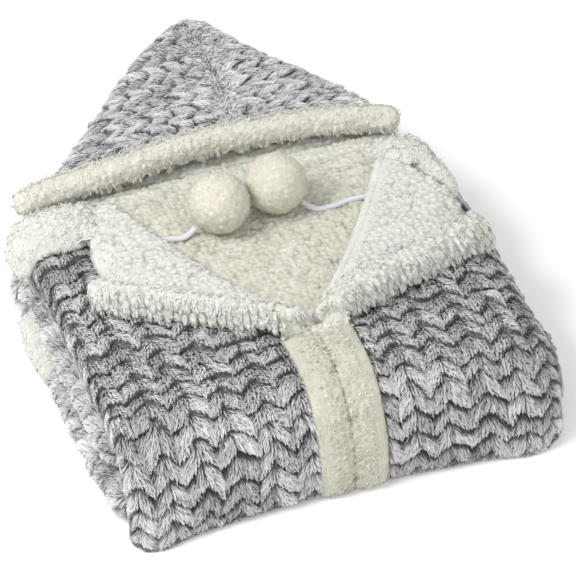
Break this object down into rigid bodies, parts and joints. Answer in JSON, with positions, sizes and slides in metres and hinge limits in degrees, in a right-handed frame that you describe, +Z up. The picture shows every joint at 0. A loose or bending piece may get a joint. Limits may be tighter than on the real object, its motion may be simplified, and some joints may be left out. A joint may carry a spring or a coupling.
{
  "type": "wearable blanket hoodie",
  "caption": "Wearable blanket hoodie in ribbed plush with a sherpa lining, folded into a thick stack with its hood laid out behind and a drawcord with pompoms.",
  "frame": {"origin": "under the middle of the garment without its drawcord and pompoms, on the surface it lies on", "axes": "+X to the right as seen from the front fold, +Y from the front fold to the point of the hood, +Z up"},
  "size_m": [0.4728, 0.736, 0.1729],
  "materials": {
    "grey_plush": "deep cut pile in chevron ribs, light tips over dark roots",
    "ivory_sherpa": "curly sherpa pile",
    "cream_yarn": "cut yarn",
    "white_cord": "smooth knitted cord"
  },
  "bodies": {
    "root": {"body_stack": "grey_plush", "front_left": "grey_plush", "front_right": "grey_plush", "band_left": "ivory_sherpa", "band_right": "ivory_sherpa", "back_lining": "ivory_sherpa", "lapel_band_left": "ivory_sherpa", "lapel_band_right": "ivory_sherpa", "lapel_left": "ivory_sherpa", "lapel_right": "ivory_sherpa", "neck_left": "ivory_sherpa", "neck_right": "ivory_sherpa", "sleeve_left": "grey_plush", "cuff_left": "ivory_sherpa", "side_left": "grey_plush", "hem_left": "grey_plush", "sleeve_right": "grey_plush", "hood_left": "grey_plush", "hood_right": "grey_plush", "hood_lining": "ivory_sherpa", "hood_under": "grey_plush", "hood_rim": "ivory_sherpa", "drawcord_left": "white_cord", "drawcord_right": "white_cord", "pompom_left": "cream_yarn", "pompom_right": "cream_yarn"}
  },
  "joints": []
}
